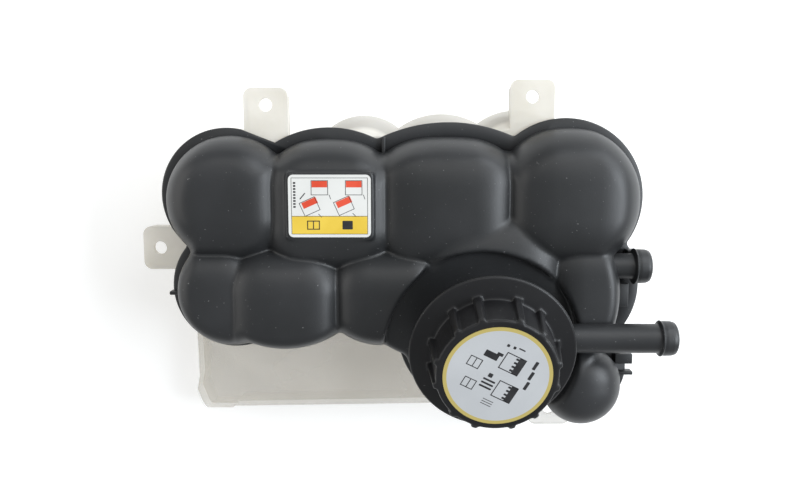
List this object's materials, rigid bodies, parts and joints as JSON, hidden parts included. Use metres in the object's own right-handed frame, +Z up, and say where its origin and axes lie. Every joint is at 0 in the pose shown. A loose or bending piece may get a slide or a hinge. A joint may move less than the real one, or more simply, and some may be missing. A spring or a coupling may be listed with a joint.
{
  "type": "coolant expansion tank",
  "caption": "Lobed engine-bay coolant expansion tank: black upper shell welded to a clear lower shell, tabs, two hose stubs and a screw cap with its valves.",
  "frame": {"origin": "on the resting face, under the middle of the tank's plan", "axes": "+X along the tank towards the hose stubs, +Y towards the back tabs, +Z up"},
  "size_m": [0.2803, 0.1917, 0.1244],
  "materials": {
    "black_pp": "satin",
    "clear_pp": "satin",
    "label_paper": "satin",
    "cap_black": "satin",
    "cap_foil": "satin",
    "insert_pp": "satin",
    "seal_rubber": "matte",
    "retainer_pp": "satin",
    "spring_steel": "polished",
    "valve_pp": "satin",
    "brass": "satin"
  },
  "bodies": {
    "tank": {"lower_shell": "clear_pp", "upper_shell": "black_pp", "tank_label": "label_paper"},
    "insert": {"valve_insert": "insert_pp", "insert_o_ring": "seal_rubber", "spring_retainer": "retainer_pp", "pressure_spring": "spring_steel", "valve_cage": "insert_pp"},
    "cap": {"cap_shell": "cap_black", "cap_label": "cap_foil"},
    "pressure_valve": {"pressure_valve": "valve_pp", "pressure_seal": "seal_rubber", "vacuum_spring": "spring_steel"},
    "vacuum_valve": {"vacuum_valve": "brass", "vacuum_seal": "seal_rubber"}
  },
  "joints": [
    {"name": "cap_lift", "type": "slide", "parent": "tank", "child": "insert", "axis": [0, -0.2368, 0.9715], "range_m": [0, 0.015]},
    {"name": "cap_turn", "type": "hinge", "parent": "insert", "child": "cap", "pos_m": [0.0458, -0.04606, 0.09838], "axis": [0, -0.2368, 0.9715], "range_deg": [0, 1084]},
    {"name": "pressure_valve_lift", "type": "slide", "parent": "insert", "child": "pressure_valve", "axis": [0, -0.2368, 0.9715], "range_m": [0, 0.003], "stiffness_N_per_m": 3500, "springref_m": -0.01, "deforming": ["pressure_spring"]},
    {"name": "vacuum_valve_drop", "type": "slide", "parent": "pressure_valve", "child": "vacuum_valve", "axis": [0, 0.2368, -0.9715], "range_m": [0, 0.002], "stiffness_N_per_m": 200, "springref_m": -0.002, "deforming": ["vacuum_spring"]}
  ],
  "couplings": [
    {"joint": "cap_turn", "follows": "cap_lift", "rad_per_m": 1256.6}
  ]
}
